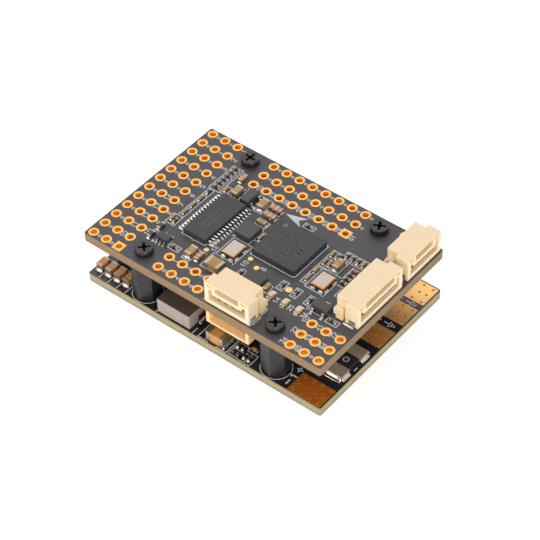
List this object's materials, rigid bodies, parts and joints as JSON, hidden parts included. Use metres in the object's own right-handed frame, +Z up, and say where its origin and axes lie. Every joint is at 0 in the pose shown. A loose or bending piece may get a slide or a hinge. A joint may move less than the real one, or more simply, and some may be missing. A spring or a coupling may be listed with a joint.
{
  "type": "flight controller board",
  "caption": "Two-storey flight controller: a flight computer board on hexagonal posts above a power board, with side-entry wire ports and plated pad grids.",
  "frame": {"origin": "centre of the power board's underside", "axes": "+X along the long side towards the two side ports, -Y the front edge with the front port, +Z up through the stack"},
  "size_m": [0.045, 0.03, 0.0143],
  "materials": {
    "black_mask": "glossy black solder mask on woven glass laminate",
    "grey_mask": "matt charcoal solder mask on woven glass laminate",
    "gold_plate": "immersion gold over copper",
    "nylon_black": "turned black nylon",
    "ferrite": "pressed iron powder, fine grain",
    "bronze_clip": "tinned bronze, dull",
    "epoxy_black": "moulded epoxy, fine matt",
    "tinned": "tin plated, soft shine",
    "ceramic_tan": "sintered brown ceramic",
    "crystal_base": "dark ceramic",
    "crystal_lid": "gold-rimmed metal lid",
    "cream_nylon": "natural cream nylon",
    "led_resin": "pale phosphor resin",
    "screw_black": "black oxide steel"
  },
  "bodies": {
    "power_stage": {"power_board": "black_mask", "power_pads": "gold_plate", "posts": "nylon_black", "inductor_cores": "ferrite", "inductor_terminals": "bronze_clip", "buck_chips": "epoxy_black", "shunt_body": "epoxy_black", "shunt_terminals": "tinned", "surge_diode_body": "epoxy_black", "surge_diode_leads": "tinned", "power_cap_bodies": "ceramic_tan", "power_cap_ends": "tinned", "power_resistor_bodies": "epoxy_black", "power_resistor_ends": "tinned", "link_header_base": "epoxy_black", "link_header_pins": "gold_plate"},
    "flight_stage": {"flight_board": "grey_mask", "flight_pads": "gold_plate", "test_points": "gold_plate", "processor": "epoxy_black", "osd_chip": "epoxy_black", "osd_leads": "tinned", "motion_sensor": "epoxy_black", "crystal_bases": "crystal_base", "crystal_lids": "crystal_lid", "regulator_bodies": "epoxy_black", "regulator_leads": "tinned", "buffer_chip": "epoxy_black", "buffer_leads": "tinned", "leadless_chip": "epoxy_black", "leadless_chip_pads": "tinned", "cap_bodies": "ceramic_tan", "cap_ends": "tinned", "filter_bodies": "ceramic_tan", "filter_ends": "tinned", "resistor_bodies": "epoxy_black", "resistor_ends": "tinned", "led_bodies": "led_resin", "led_ends": "tinned", "front_port_housing": "cream_nylon", "front_port_contacts": "tinned", "front_port_tabs": "tinned", "long_port_housing": "cream_nylon", "long_port_contacts": "tinned", "long_port_tabs": "tinned", "short_port_housing": "cream_nylon", "short_port_contacts": "tinned", "short_port_tabs": "tinned", "under_port_housing": "cream_nylon", "under_port_contacts": "tinned", "under_port_tabs": "tinned", "link_socket_body": "epoxy_black", "link_socket_tails": "gold_plate"},
    "screw_front_left": {"screw_front_left": "screw_black"},
    "screw_front_right": {"screw_front_right": "screw_black"},
    "screw_rear_left": {"screw_rear_left": "screw_black"},
    "screw_rear_right": {"screw_rear_right": "screw_black"}
  },
  "joints": [
    {"name": "flight_stage_lift", "type": "slide", "parent": "power_stage", "child": "flight_stage", "axis": [0, 0, 1], "range_m": [0, 0.008]},
    {"name": "screw_front_left_backout", "type": "slide", "parent": "flight_stage", "child": "screw_front_left", "axis": [0, 0, 1], "range_m": [0, 0.005]},
    {"name": "screw_front_right_backout", "type": "slide", "parent": "flight_stage", "child": "screw_front_right", "axis": [0, 0, 1], "range_m": [0, 0.005]},
    {"name": "screw_rear_left_backout", "type": "slide", "parent": "flight_stage", "child": "screw_rear_left", "axis": [0, 0, 1], "range_m": [0, 0.005]},
    {"name": "screw_rear_right_backout", "type": "slide", "parent": "flight_stage", "child": "screw_rear_right", "axis": [0, 0, 1], "range_m": [0, 0.005]}
  ]
}
